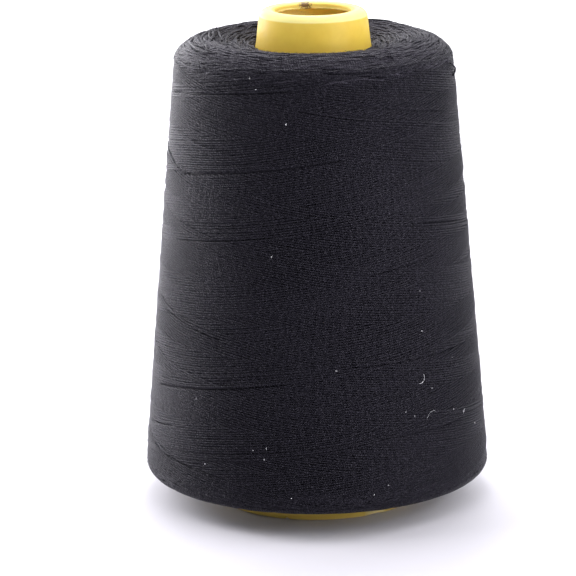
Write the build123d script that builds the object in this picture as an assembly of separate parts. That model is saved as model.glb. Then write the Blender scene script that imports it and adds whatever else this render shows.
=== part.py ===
from build123d import *
import math
import os

os.makedirs("parts", exist_ok=True)

# ---------------------------------------------------------------------------
# Cone of sewing thread: a hollow tapered plastic cone and the thread package
# wound on it.  Millimetres, +Z up the spindle axis, origin at the centre of
# the foot, on the surface that the cone stands on.
# ---------------------------------------------------------------------------

# moulded cone
CONE_HEIGHT = 113.0          # foot to top of the nose
TAPER = 0.0758               # radius lost per mm of height: a 4 deg 20 min cone
WALL_R_AT_FOOT = 21.21       # outer wall, produced down to z = 0
WALL = 1.5                   # wall thickness
FOOT_R = 23.55               # foot ring
FOOT_H = 2.3
FOOT_EDGE = 0.4              # rounding of the ring's lower edge
FOOT_LEAD = 0.6              # lead-in chamfer inside the foot
NOSE_ROUND = 2.0             # outer rounding of the nose
NOSE_CREST_R = 10.9          # radius of the nose's highest ring
BORE_R = 8.6                 # hole in the nose for the spindle
LIP_UNDER_Z = 111.6          # underside of the inward lip
LIP_TOP_Z = 112.3            # top of the lip's straight wall
GRIP_FIRST_Z = 14.0          # shallow grip grooves under the thread
GRIP_PITCH = 9.0
GRIP_COUNT = 10
GRIP_DEPTH = 0.3
GRIP_WIDTH = 1.2

# thread package
PACK_R_BOTTOM = 39.64        # widest radius, above the rounded lower edge
PACK_EDGE = 3.2              # rounding of the lower edge
PACK_Z_BOTTOM = 5.85         # underside at the lower edge
PACK_Z_BOTTOM_IN = 7.0       # underside where it meets the cone
PACK_R_SHOULDER = 31.70      # side radius where the shoulder starts
PACK_Z_SHOULDER = 100.9
PACK_R_CREST = 23.65         # highest ring of the top face
PACK_Z_CREST = 106.8
PACK_Z_TOP_IN = 104.8        # top face where it meets the nose


def wall_r(z):
    """Outer wall radius of the cone at height z."""
    return WALL_R_AT_FOOT - TAPER * z


def inner_r(z):
    """Inner wall radius of the cone at height z."""
    return wall_r(z) - WALL


def chain(steps):
    """Closed wire in the XZ plane from a start point and a list of steps.

    A step is a point for a straight run, or (via, end) for an arc.
    """
    edges = []
    start = steps[0]
    here = start
    for step in steps[1:]:
        if isinstance(step[0], tuple):
            via, end = step
            edges.append(
                ThreePointArc((here[0], 0, here[1]), (via[0], 0, via[1]), (end[0], 0, end[1]))
            )
            here = end
        else:
            edges.append(Line((here[0], 0, here[1]), (step[0], 0, step[1])))
            here = step
    if math.hypot(here[0] - start[0], here[1] - start[1]) > 1e-9:
        edges.append(Line((here[0], 0, here[1]), (start[0], 0, start[1])))
    return make_face(edges)


def turned(face):
    """Solid of revolution about Z."""
    return revolve(face, axis=Axis.Z, revolution_arc=360)


def arc_mid(cx, cz, r, deg):
    """Point on a circle, used as the middle of an arc."""
    a = math.radians(deg)
    return (cx + r * math.cos(a), cz + r * math.sin(a))


# ------------------------------------------------------------- moulded cone
foot_in = inner_r(0.0)
steps = [(foot_in + FOOT_LEAD * 0.55, 0.0)]
steps.append((FOOT_R - FOOT_EDGE, 0.0))
steps.append((arc_mid(FOOT_R - FOOT_EDGE, FOOT_EDGE, FOOT_EDGE, -45), (FOOT_R, FOOT_EDGE)))
steps.append((FOOT_R, FOOT_H - 0.6))
steps.append((arc_mid(FOOT_R - 0.6, FOOT_H - 0.6, 0.6, 45), (FOOT_R - 0.6, FOOT_H)))
steps.append((wall_r(FOOT_H) + 0.7, FOOT_H))
# small inside fillet where the ring meets the wall
fr = 0.7
cx, cz = wall_r(FOOT_H + fr) + fr, FOOT_H + fr
steps.append((arc_mid(cx, cz, fr, 225), (wall_r(FOOT_H + fr), FOOT_H + fr)))
for i in range(GRIP_COUNT):
    z0 = GRIP_FIRST_Z + i * GRIP_PITCH
    z1 = z0 + GRIP_WIDTH
    steps.append((wall_r(z0), z0))
    steps.append((wall_r(z0 + 0.3) - GRIP_DEPTH, z0 + 0.3))
    steps.append((wall_r(z1 - 0.3) - GRIP_DEPTH, z1 - 0.3))
    steps.append((wall_r(z1), z1))
z_round = CONE_HEIGHT - NOSE_ROUND
r_round = wall_r(z_round)
steps.append((r_round, z_round))
steps.append(
    (
        (NOSE_CREST_R + (r_round - NOSE_CREST_R) * math.cos(math.radians(45)),
         z_round + NOSE_ROUND * math.sin(math.radians(45))),
        (NOSE_CREST_R, CONE_HEIGHT),
    )
)
# the top dips slightly towards the hole and rounds into the lip's wall
steps.append(((NOSE_CREST_R - 0.9, CONE_HEIGHT - 0.06), (BORE_R + 0.5, LIP_TOP_Z + 0.46)))
steps.append((arc_mid(BORE_R + 0.5, LIP_TOP_Z, 0.48, 135), (BORE_R, LIP_TOP_Z)))
steps.append((BORE_R, LIP_UNDER_Z))
r_up = inner_r(LIP_UNDER_Z - 1.0)
steps.append((r_up - 1.0, LIP_UNDER_Z))
steps.append((arc_mid(r_up - 1.0, LIP_UNDER_Z - 1.0, 1.0, 45), (r_up, LIP_UNDER_Z - 1.0)))
steps.append((inner_r(FOOT_LEAD), FOOT_LEAD))
cone_core = turned(chain(steps))

# ----------------------------------------------------------- thread package
steps = [(wall_r(PACK_Z_BOTTOM_IN), PACK_Z_BOTTOM_IN)]
steps.append((PACK_R_BOTTOM - PACK_EDGE, PACK_Z_BOTTOM))
side_dr = PACK_R_BOTTOM - PACK_R_SHOULDER
side_dz = PACK_Z_SHOULDER - (PACK_Z_BOTTOM + PACK_EDGE)
tilt = math.degrees(math.atan2(side_dr, side_dz))
steps.append(
    (
        arc_mid(PACK_R_BOTTOM - PACK_EDGE, PACK_Z_BOTTOM + PACK_EDGE, PACK_EDGE, -45),
        (PACK_R_BOTTOM, PACK_Z_BOTTOM + PACK_EDGE),
    )
)
steps.append((PACK_R_SHOULDER, PACK_Z_SHOULDER))
steps.append(
    (
        (PACK_R_CREST + (PACK_R_SHOULDER - PACK_R_CREST) * math.cos(math.radians(45)),
         PACK_Z_SHOULDER + (PACK_Z_CREST - PACK_Z_SHOULDER) * math.sin(math.radians(45))),
        (PACK_R_CREST, PACK_Z_CREST),
    )
)
r_in = wall_r(PACK_Z_TOP_IN)
steps.append(((r_in + 0.52 * (PACK_R_CREST - r_in), PACK_Z_CREST - 0.62), (r_in, PACK_Z_TOP_IN)))
thread_package = turned(chain(steps))
# the first wraps bridge the grip grooves, so the package's bore is plain

for name, shape in {"cone_core": cone_core, "thread_package": thread_package}.items():
    solid = shape.solids()[0] if len(shape.solids()) == 1 else shape
    solid.label = name
    export_step(solid, "parts/%s.step" % name)
    bb = solid.bounding_box()
    print(name, "volume %.1f cm3" % (solid.volume / 1000.0), "x %.2f z %.2f..%.2f" % (bb.size.X, bb.min.Z, bb.max.Z))
print("side taper of the package %.2f deg" % tilt)
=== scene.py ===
"""Looks for the cone of thread: the moulded cone, the wound thread and its stray fibres."""
import math

import bpy
import numpy as np
from mathutils import Matrix, Vector


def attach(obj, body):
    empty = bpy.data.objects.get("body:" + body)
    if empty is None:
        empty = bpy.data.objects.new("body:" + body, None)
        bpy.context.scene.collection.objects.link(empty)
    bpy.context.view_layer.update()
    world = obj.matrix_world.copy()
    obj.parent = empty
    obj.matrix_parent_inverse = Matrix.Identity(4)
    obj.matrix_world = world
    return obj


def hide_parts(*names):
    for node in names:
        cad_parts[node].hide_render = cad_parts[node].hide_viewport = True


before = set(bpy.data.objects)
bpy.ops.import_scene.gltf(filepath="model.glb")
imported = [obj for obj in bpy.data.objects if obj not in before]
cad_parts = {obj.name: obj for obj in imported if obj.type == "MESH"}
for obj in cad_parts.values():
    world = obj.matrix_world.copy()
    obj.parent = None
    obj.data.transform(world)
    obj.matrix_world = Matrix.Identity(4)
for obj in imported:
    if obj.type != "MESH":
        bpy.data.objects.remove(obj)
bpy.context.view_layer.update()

MM = 0.001

# ---------------------------------------------------------------------------
# Sizes, in millimetres, as the CAD model has them
# ---------------------------------------------------------------------------
TAPER = 0.0758
WALL_R0 = 21.21            # cone's outer wall produced to z = 0
WALL = 1.5
HEIGHT = 113.0
FOOT_R = 23.55
BORE_R = 8.6

SIDE_R0, SIDE_Z0, SIDE_K = 39.64, 9.05, 0.08645     # side of the package
Z_SHOULDER, R_CREST, Z_CREST = 100.9, 23.65, 106.8
R_SHOULDER = SIDE_R0 - (Z_SHOULDER - SIDE_Z0) * SIDE_K
Z_TOP_IN = 104.8
Z_BOT, R_EDGE, Z_BOT_IN = 5.85, 3.2, 7.0

THREAD_D = 0.43            # diameter of the sewing thread as it lies
RS = THREAD_D / 2


def wall_r(z):
    return WALL_R0 - TAPER * z


def side_r(z):
    return SIDE_R0 - (z - SIDE_Z0) * SIDE_K


def top_z(r):
    """Height of the package's top surface at radius r, from the nose out to the shoulder."""
    r = np.asarray(r, float)
    r_in = wall_r(Z_TOP_IN)
    u = np.clip((r - r_in) / (R_CREST - r_in), 0, 1)
    inner = Z_TOP_IN + (Z_CREST - Z_TOP_IN) * (1 - (1 - u) ** 1.04)
    v = np.clip((r - R_CREST) / (R_SHOULDER - R_CREST), 0, 1)
    outer = Z_SHOULDER + (Z_CREST - Z_SHOULDER) * np.sqrt(np.clip(1 - v ** 2, 0, 1))
    return np.where(r < R_CREST, inner, outer)


def bottom_z(r):
    """Height of the package's underside at radius r."""
    r = np.asarray(r, float)
    r_c = SIDE_R0 - R_EDGE
    r_in = wall_r(Z_BOT_IN)
    u = np.clip((r_c - r) / (r_c - r_in), 0, 1)
    inner = Z_BOT + (Z_BOT_IN - Z_BOT) * u
    v = np.clip((r - r_c) / R_EDGE, 0, 1)
    outer = Z_BOT + R_EDGE * (1 - np.sqrt(np.clip(1 - v ** 2, 0, 1)))
    return np.where(r < r_c, inner, outer)


# ---------------------------------------------------------------------------
# Node helpers
# ---------------------------------------------------------------------------
class Nodes:
    def __init__(self, name):
        self.mat = bpy.data.materials.new(name)
        self.mat.use_nodes = True
        self.t = self.mat.node_tree
        self.b = self.t.nodes["Principled BSDF"]

    def new(self, kind, **values):
        n = self.t.nodes.new(kind)
        for k, v in values.items():
            if hasattr(n, k):
                setattr(n, k, v)
            else:
                n.inputs[k].default_value = v
        return n

    def link(self, a, b):
        self.t.links.new(a, b)

    def ramp(self, fac, stops, interpolation="LINEAR"):
        n = self.t.nodes.new("ShaderNodeValToRGB")
        n.color_ramp.interpolation = interpolation
        e = n.color_ramp.elements
        while len(e) < len(stops):
            e.new(0.5)
        for s, (p, c) in zip(e, stops):
            s.position = p
            s.color = c if len(c) == 4 else (*c, 1)
        self.link(fac, n.inputs["Fac"])
        return n.outputs["Color"]

    def math(self, op, a, b=None, c=None):
        n = self.t.nodes.new("ShaderNodeMath")
        n.operation = op
        for i, v in enumerate((a, b, c)):
            if v is None:
                continue
            if hasattr(v, "default_value") or hasattr(v, "is_linked"):
                self.link(v, n.inputs[i])
            else:
                n.inputs[i].default_value = v
        return n.outputs[0]

    def mix(self, fac, a, b, mode="MIX"):
        n = self.t.nodes.new("ShaderNodeMix")
        n.data_type = "RGBA"
        n.blend_type = mode
        for sock, v in ((n.inputs["Factor"], fac), (n.inputs[6], a), (n.inputs[7], b)):
            if hasattr(v, "is_linked"):
                self.link(v, sock)
            else:
                sock.default_value = v if not isinstance(v, tuple) or len(v) == 4 else (*v, 1)
        return n.outputs[2]


# ---------------------------------------------------------------------------
# Mesh helpers
# ---------------------------------------------------------------------------
def mesh_from(name, verts, loops, starts, totals, uv=None, bake_uv=None, smooth=True, slots=None):
    me = bpy.data.meshes.new(name)
    me.vertices.add(len(verts))
    me.vertices.foreach_set("co", (np.asarray(verts, np.float32) * MM).ravel())
    me.loops.add(len(loops))
    me.loops.foreach_set("vertex_index", np.asarray(loops, np.int32))
    me.polygons.add(len(starts))
    me.polygons.foreach_set("loop_start", np.asarray(starts, np.int32))
    me.polygons.foreach_set("loop_total", np.asarray(totals, np.int32))
    if slots is not None:
        me.polygons.foreach_set("material_index", np.asarray(slots, np.int32))
    me.update(calc_edges=True)
    if smooth:
        me.polygons.foreach_set("use_smooth", np.ones(len(starts), bool))
    if uv is not None:
        layer = me.uv_layers.new(name="Strand")
        layer.data.foreach_set("uv", np.asarray(uv, np.float32).ravel())
    if bake_uv is not None:
        layer = me.uv_layers.new(name="OFBake")
        layer.data.foreach_set("uv", np.asarray(bake_uv, np.float32).ravel())
    me.validate(clean_customdata=False)
    ob = bpy.data.objects.new(name, me)
    bpy.context.scene.collection.objects.link(ob)
    return ob


def tubes(name, pts, nrm, rad, run, sides=6, squash=1.0, phase=None):
    """Closed tubes along runs of points. pts, nrm are (n, 3); rad is (n,); run numbers each point's strand."""
    pts, nrm, rad, run = (np.asarray(a, float) for a in (pts, nrm, rad, run))
    run = run.astype(np.int64)
    n = len(pts)
    nxt = np.minimum(np.arange(n) + 1, n - 1)
    prv = np.maximum(np.arange(n) - 1, 0)
    nxt = np.where(run[nxt] == run, nxt, np.arange(n))
    prv = np.where(run[prv] == run, prv, np.arange(n))
    tan = pts[nxt] - pts[prv]
    tan /= np.linalg.norm(tan, axis=1, keepdims=True) + 1e-12
    side = np.cross(tan, nrm)
    side /= np.linalg.norm(side, axis=1, keepdims=True) + 1e-12
    up = np.cross(side, tan)
    ang = np.arange(sides) * 2 * np.pi / sides
    ring = (
        pts[:, None, :]
        + rad[:, None, None] * (np.cos(ang)[None, :, None] * side[:, None, :]
                                + squash * np.sin(ang)[None, :, None] * up[:, None, :])
    )
    verts = ring.reshape(-1, 3)
    i = np.where(run[:-1] == run[1:])[0]
    j = np.arange(sides)
    k = (j + 1) % sides
    a = (i[:, None] * sides + j[None]).ravel()
    b = (i[:, None] * sides + k[None]).ravel()
    c = ((i[:, None] + 1) * sides + k[None]).ravel()
    d = ((i[:, None] + 1) * sides + j[None]).ravel()
    quads = np.stack([a, d, c, b], 1)
    first = np.where(np.r_[True, run[1:] != run[:-1]])[0]
    last = np.where(np.r_[run[1:] != run[:-1], True])[0]
    cap0 = first[:, None] * sides + j[None]
    cap1 = last[:, None] * sides + j[None, ::-1]
    caps = np.concatenate([cap0, cap1])
    loops = np.concatenate([quads.ravel(), caps.ravel()])
    totals = np.concatenate([np.full(len(quads), 4), np.full(len(caps), sides)])
    starts = np.concatenate([[0], np.cumsum(totals)[:-1]])
    # strand UV: u is millimetres along the strand, v runs round it
    seg = np.r_[0, np.linalg.norm(np.diff(pts, axis=0), axis=1)]
    seg[first] = 0
    total = np.cumsum(seg)
    along = total - total[first][np.searchsorted(first, np.arange(n), "right") - 1]
    if phase is not None:
        along = along + phase[run]
    vq = np.stack([j, j, j + 1, j + 1], 1) / sides
    uq_i = np.repeat(i, sides)
    u_quads = np.stack([along[uq_i], along[uq_i + 1], along[uq_i + 1], along[uq_i]], 1)
    v_quads = np.tile(vq, (len(i), 1))
    uv = np.concatenate([
        np.stack([u_quads, v_quads], 2).reshape(-1, 2),
        np.stack([np.repeat(along[np.r_[first, last]], sides), np.zeros(len(caps) * sides)], 1),
    ])
    # bake UV: unrolled round the axis
    lv = verts[loops]
    az = (np.arctan2(lv[:, 0], -lv[:, 1]) / (2 * np.pi)) % 1.0
    bake = np.stack([0.01 + 0.98 * az, 0.01 + 0.98 * np.clip(lv[:, 2] / 114.0, 0, 1)], 1)
    return mesh_from(name, verts, loops, starts, totals, uv=uv, bake_uv=bake)


def lathe(name, prof, segs, closed=True, shift=None, bake=False):
    """Mesh of revolution from a closed (r, z) profile in mm. shift(az, i, r, z) may move the points."""
    prof = np.asarray(prof, float)
    m = len(prof)
    az = np.arange(segs) * 2 * np.pi / segs
    r = np.repeat(prof[None, :, 0], segs, 0)
    z = np.repeat(prof[None, :, 1], segs, 0)
    if shift is not None:
        r, z = shift(az[:, None] + 0 * r, np.arange(m)[None] + 0 * r, r, z)
    verts = np.stack([r * np.sin(az)[:, None], -r * np.cos(az)[:, None], z], 2).reshape(-1, 3)
    cols = m if closed else m - 1
    s = np.arange(segs)
    i = np.arange(cols)
    S, I = np.meshgrid(s, i, indexing="ij")
    S2, I2 = (S + 1) % segs, (I + 1) % m
    q = np.stack([S * m + I, S2 * m + I, S2 * m + I2, S * m + I2], -1).reshape(-1, 4)
    return mesh_from(name, verts, q.ravel(), np.arange(len(q)) * 4, np.full(len(q), 4))


def outward(ob):
    """Makes a closed mesh's faces point outwards."""
    import bmesh
    bm = bmesh.new()
    bm.from_mesh(ob.data)
    bmesh.ops.recalc_face_normals(bm, faces=bm.faces)
    bm.to_mesh(ob.data)
    bm.free()
    return ob


rng = np.random.default_rng(20)


def smooth_noise(n, step, r=rng):
    """Smooth noise of about unit size, n samples, one knot every step samples."""
    k = r.normal(size=int(n / step) + 6)
    x = np.arange(n) / step
    i = x.astype(int)
    f = x - i
    w0, w1, w2, w3 = ((1 - f) ** 3 / 6, (3 * f ** 3 - 6 * f ** 2 + 4) / 6,
                      (-3 * f ** 3 + 3 * f ** 2 + 3 * f + 1) / 6, f ** 3 / 6)
    return 1.6 * (w0 * k[i] + w1 * k[i + 1] + w2 * k[i + 2] + w3 * k[i + 3])


# ---------------------------------------------------------------------------
# Winding: the thread is laid pass by pass on a height map of the package's
# side, each pass resting on what lies there, and only what shows is meshed.
# Neighbouring turns are laid side by side in bands that creep round the
# package, so the newest turns end in a small step over the oldest ones.
# ---------------------------------------------------------------------------
NC = 1080                     # columns round the package
DZ = 0.09                     # rows, mm
ZG0, ZG1 = 4.5, 106.5
NR = int((ZG1 - ZG0) / DZ) + 1
PITCH_MM = 32.4               # rise of a strand in one turn round the package
GAP = 0.54                    # distance between neighbouring turns, up the side
PAIRS = 190                   # pairs of passes that are laid
PER_PASS = 0.0058             # mm of thickness per pass
EDGE_UP = (34.3, 17.9)        # height of the rising bands' leading edges at azimuth -22
EDGE_DOWN = (12.8, 33.7)      # height of the falling bands' leading edges at azimuth -35
SHARE_DOWN = (0.36, 0.64)

_R_TOP = np.linspace(R_SHOULDER, wall_r(Z_TOP_IN) - 0.5, 500)
_Z_TOP = top_z(_R_TOP)
_D_TOP = side_r(_Z_TOP) - _R_TOP
_R_BOT = np.linspace(SIDE_R0, wall_r(Z_BOT_IN) - 0.5, 500)
_Z_BOT = bottom_z(_R_BOT)
_D_BOT = side_r(_Z_BOT) - _R_BOT


def depth_turn(top, t):
    """Height at which the thread lying t under the side's surface turns back."""
    return np.interp(t, _D_TOP, _Z_TOP) if top else np.interp(t, _D_BOT, _Z_BOT)


WAVES = [(rng.uniform(0.5, 1.0), int(rng.integers(1, 7)), rng.uniform(-0.25, 0.25), rng.uniform(0, 6.28)) for _ in range(9)]


def wander(az, z, fam):
    w = 0
    for a, k, m, p in WAVES:
        w = w + a * np.sin(k * az + m * z + p + fam * 2.1)
    return 0.11 * w


def bend(z, lo, hi, h):
    """Folds a straight rise back on itself at lo and hi, with a rounded turn of half-height h."""
    top = hi + h
    z = np.where(z > top, 2 * top - z, z)
    bot = lo - h
    z = np.where(z < bot, 2 * bot - z, z)
    z = np.where(z > hi - h, hi - (hi + h - z) ** 2 / (4 * h), z)
    z = np.where(z < lo + h, lo + (z - lo + h) ** 2 / (4 * h), z)
    return z


def pass_plan():
    """(age, rising, height of the strand where its azimuth is zero) for every pass, newest first."""
    plan = []
    count = {("u", 0): 0, ("u", 1): 0, ("d", 0): 0, ("d", 1): 0}
    debt = np.zeros(2)
    for j in range(PAIRS):
        f = j % 2
        d = (count["u", f] + 0.5) * GAP
        count["u", f] += 1
        plan.append((2 * j, True, EDGE_UP[f] + 22 / 360 * PITCH_MM + d))
        debt += SHARE_DOWN
        f = int(np.argmax(debt))
        debt[f] -= 1
        d = (count["d", f] + 0.5) * GAP
        count["d", f] += 1
        plan.append((2 * j + 1, False, EDGE_DOWN[f] - 35 / 360 * PITCH_MM - d))
    return plan


def wind():
    H = np.zeros((NR, NC), np.float32)
    strands = []
    foot = np.arange(-2, 3)
    arc = np.sqrt(np.clip(RS ** 2 - (foot * DZ) ** 2, 0, None))
    for age, rising, z_axis in reversed(pass_plan()):
        t = age * PER_PASS
        z_hi = float(depth_turn(True, t + 0.30)) - abs(rng.normal()) * 0.30
        z_lo = float(depth_turn(False, t + 0.30)) + abs(rng.normal()) * 0.22
        h_turn = rng.uniform(0.25, 0.5)
        ext = 0.9 + rng.uniform(-0.15, 0.3)
        s = 1 if rising else -1
        # unwrapped azimuth from below the bottom turn to above the top turn
        lo_t, hi_t = z_lo - h_turn - ext, z_hi + h_turn + ext
        base = z_axis + rng.normal() * 0.028
        th0 = (lo_t - base) / PITCH_MM * s
        th1 = (hi_t - base) / PITCH_MM * s
        c0, c1 = int(round(min(th0, th1) * NC)), int(round(max(th0, th1) * NC))
        cols = np.arange(c0, c1 + 1)
        n = len(cols)
        z = base + s * cols / NC * PITCH_MM
        az = cols * (2 * np.pi / NC)
        z = z + wander(az, z, 0.0 if rising else 1.0) + smooth_noise(n, 330) * 0.032 + smooth_noise(n, 60) * 0.010
        z = bend(z, z_lo, z_hi, h_turn)
        col = cols % NC
        ir = np.clip(np.round((z - ZG0) / DZ).astype(int), 2, NR - 3)
        sup = H[ir[:, None] + foot[None], col[:, None]]
        h = (sup + arc[None] * 0.8).max(1)
        # a strand under tension bridges the hollows and presses into the bumps
        w = 5
        pad = np.pad(h, w, mode="edge")
        win = np.lib.stride_tricks.sliding_window_view(pad, 2 * w + 1)
        h = 0.5 * win.max(1) + 0.5 * win.mean(1) - 0.035
        pad = np.pad(h, w, mode="edge")
        h = np.lib.stride_tricks.sliding_window_view(pad, 2 * w + 1).mean(1)
        np.maximum.at(H, (ir[:, None] + foot[None], np.repeat(col[:, None], 5, 1)), (h[:, None] + arc[None]).astype(np.float32))
        strands.append((age, col, z, ir, h))
    return H, strands


def visible_runs(H, strands):
    """Points of the strands' stretches that can be seen, thinned to about 1 mm."""
    foot = np.arange(-2, 3)
    arc = np.sqrt(np.clip(RS ** 2 - (foot * DZ) ** 2, 0, None))
    P, Rn = [], []
    run_no = 0
    step = 5
    for age, col, z, ir, h in strands:
        shown = (h[:, None] + arc[None] > H[ir[:, None] + foot[None], col[:, None]] - 0.27).any(1)
        pad = np.pad(shown, 6, mode="edge")
        shown = np.lib.stride_tricks.sliding_window_view(pad, 13).any(1)
        fine = np.arange(0, len(col), 2)
        dip = joint_field(col[fine] * (2 * np.pi / NC), z[fine])[0]
        idx = np.union1d(np.arange(0, len(col), step), fine[dip > 0.02])
        s = shown[idx]
        if not s.any():
            continue
        edge = np.diff(np.r_[False, s, False].astype(int))
        for a, b in zip(np.where(edge == 1)[0], np.where(edge == -1)[0]):
            if b - a < 2:
                continue
            i = idx[a:b]
            P.append(np.stack([col[i] * (2 * np.pi / NC), z[i], h[i]], 1))
            Rn.append(np.full(len(i), run_no))
            run_no += 1
    return np.concatenate(P), np.concatenate(Rn)


def blur(A, rows, cols):
    """Box blur done three times: wraps round in columns, stops at the edges in rows."""
    A = A.astype(float)
    for _ in range(3):
        c = np.cumsum(np.concatenate([A[:, -cols:], A, A[:, :cols]], 1), 1)
        c = np.concatenate([np.zeros((len(A), 1)), c], 1)
        A = (c[:, 2 * cols + 1:] - c[:, :-2 * cols - 1]) / (2 * cols + 1)
        p = np.pad(A, ((rows, rows), (0, 0)), mode="edge")
        c = np.concatenate([np.zeros((1, A.shape[1])), np.cumsum(p, 0)])
        A = (c[2 * rows + 1:] - c[:-2 * rows - 1]) / (2 * rows + 1)
    return A


def package_r(z):
    """Radius of the package's outer surface at height z: lower edge, side and shoulder."""
    z = np.asarray(z, float)
    lo = np.clip((Z_BOT + R_EDGE - z) / R_EDGE, 0, 0.97)
    hi = np.clip((z - Z_SHOULDER) / (Z_CREST - Z_SHOULDER), 0, 0.97)
    r = side_r(z) - R_EDGE * (1 - np.sqrt(1 - lo ** 2))
    up = R_CREST + (R_SHOULDER - R_CREST) * np.sqrt(1 - hi ** 2)
    return np.where(z > Z_SHOULDER, up, r)


H, strands = wind()
TOPH = H.copy()
for _s in (1, 2):
    TOPH = np.maximum(TOPH, np.maximum(np.roll(H, _s, 0), np.roll(H, -_s, 0)))
WEIGHT = (TOPH > 0).astype(float)
ENV = blur(TOPH, 9, 9) / np.maximum(blur(WEIGHT, 9, 9), 0.05)
WIDE = blur(TOPH, 60, 60) / np.maximum(blur(WEIGHT, 60, 60), 0.05)
slope = math.atan(SIDE_K)
RELIEF = 0.12                 # share of the broad unevenness that is kept

# Joints between bands of turns: (depth, ((azimuth in degrees, height), ...)), azimuth 0 at the front.
JOINTS = [
    (0.34, ((-80, 95.3), (-73.3, 96.0), (-22.3, 99.1), (-6, 100.0))),
    (0.46, ((-62, 78.7), (-48.4, 79.8), (-3.6, 83.6), (13.5, 85.0))),
    (0.28, ((-83, 82.8), (-76.8, 81.6), (-65.3, 79.8), (-57, 79.0))),
    (0.22, ((-11, 96.0), (20.8, 92.8), (24, 92.4))),
    (0.26, ((5, 97.3), (59.4, 92.4), (63, 92.1))),
    (0.28, ((-66, 63.3), (-22.4, 67.2), (-14, 67.9))),
    (0.24, ((-73, 28.9), (-15.3, 35.0), (-8, 35.7))),
    (0.22, ((-72, 47.5), (-34.7, 43.7), (-31, 43.4))),
    (0.28, ((-82, 17.0), (-64.6, 14.4), (-44.1, 13.6), (-28, 12.3))),
    (0.24, ((12, 39.0), (64.7, 39.2), (68, 39.3))),
    (0.24, ((19, 22.4), (62, 22.6))),
    (0.22, ((-80, 19.1), (-54, 22.0))),
    (0.18, ((-50, 31.4), (-24, 34.1))),
    (0.20, ((38, 69.5), (72, 66.6))),
    (0.18, ((16, 58.6), (52, 61.8))),
]
for _k in range(16):          # the far side has joints of the same kind
    _a = rng.uniform(85, 255)
    _l = rng.uniform(26, 60)
    _z = rng.uniform(12, 97)
    _s = rng.choice((-1, 1)) * 0.089 * rng.uniform(0.7, 1.1)
    JOINTS.append((rng.uniform(0.18, 0.42), ((_a, _z), (_a + _l, _z + _s * _l))))


def joint_field(az, z):
    """(depth, shift in height) that the joints give to a strand's centre."""
    deg = np.degrees(az) % 360.0
    depth = np.zeros_like(z)
    lift = np.zeros_like(z)
    for amp, line in JOINTS:
        xs = np.array([p[0] for p in line], float)
        zs = np.array([p[1] for p in line], float)
        for turn in (-360.0, 0.0):
            d_ = deg + turn
            m = (d_ > xs[0]) & (d_ < xs[-1])
            if not m.any():
                continue
            e = np.minimum(d_[m] - xs[0], xs[-1] - d_[m]) / 7.0
            f = np.clip(e, 0, 1)
            f = f * f * (3 - 2 * f)
            d = z[m] - np.interp(d_[m], xs, zs)
            depth[m] += 1.35 * amp * f * np.exp(-(d / 0.21) ** 2) - 0.09 * f * np.exp(-((d - 0.46) / 0.18) ** 2)
            lift[m] += np.sign(d) * 0.13 * f * np.exp(-(d / 0.34) ** 2)
    return depth, lift


def beds(az, z):
    """How far strands stand over the ones they cross: little where both directions
    are pressed into one another, more in the bands where one direction lies on top."""
    n = 0
    r = np.random.default_rng(8)
    for _ in range(10):
        n = n + r.uniform(0.5, 1.0) * np.sin(int(r.integers(1, 9)) * az + r.uniform(-0.45, 0.45) * z + r.uniform(0, 6.28))
    v = np.clip(0.32 + 0.28 * n, 0, 1)
    deg = np.degrees(az) % 360.0
    for amp, line in JOINTS:
        xs = np.array([p[0] for p in line], float)
        zs = np.array([p[1] for p in line], float)
        for turn in (-360.0, 0.0):
            d_ = deg + turn
            f = np.clip(np.minimum(d_ - xs[0], xs[-1] - d_) / 10.0, 0, 1)
            d = z - np.interp(d_, xs, zs)
            rising = zs[-1] > zs[0]
            v = np.maximum(v, 2.2 * amp * f * np.exp(-((d - (2.4 if rising else -2.0)) / 2.3) ** 2))
    return 0.20 + 0.34 * np.clip(v, 0, 1)


Q, RUN = visible_runs(H, strands)
print("WIND visible points", len(Q), "runs", int(RUN.max()) + 1)
az, zz = Q[:, 0], Q[:, 1]
_i = np.clip(np.round((zz - ZG0) / DZ).astype(int), 0, NR - 1)
_j = np.round(az / (2 * np.pi) * NC).astype(int) % NC
hh = beds(az, zz) * (Q[:, 2] + RS - ENV[_i, _j]) + RELIEF * (ENV[_i, _j] - WIDE[_i, _j])
_e = np.clip((zz - 7.5) / 4.5, 0, 1)     # pressed level where the strands turn back over the lower edge
rr = package_r(zz) - RS + np.clip(hh, -0.14 - 0.16 * _e, 0.02 + 0.10 * _e)
_dep, _lif = joint_field(az, zz)
rr = rr - _dep
zz = zz + _lif
side_pts = np.stack([rr * np.sin(az), -rr * np.cos(az), zz], 1)
_n = np.clip((zz - Z_SHOULDER) / (Z_CREST - Z_SHOULDER), 0, 0.9) - np.clip((Z_BOT + R_EDGE - zz) / R_EDGE, 0, 0.9)
_t = np.arcsin(np.clip(_n + math.sin(slope), -0.95, 0.95))
side_nrm = np.stack([np.sin(az) * np.cos(_t), -np.cos(az) * np.cos(_t), np.sin(_t)], 1)

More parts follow.
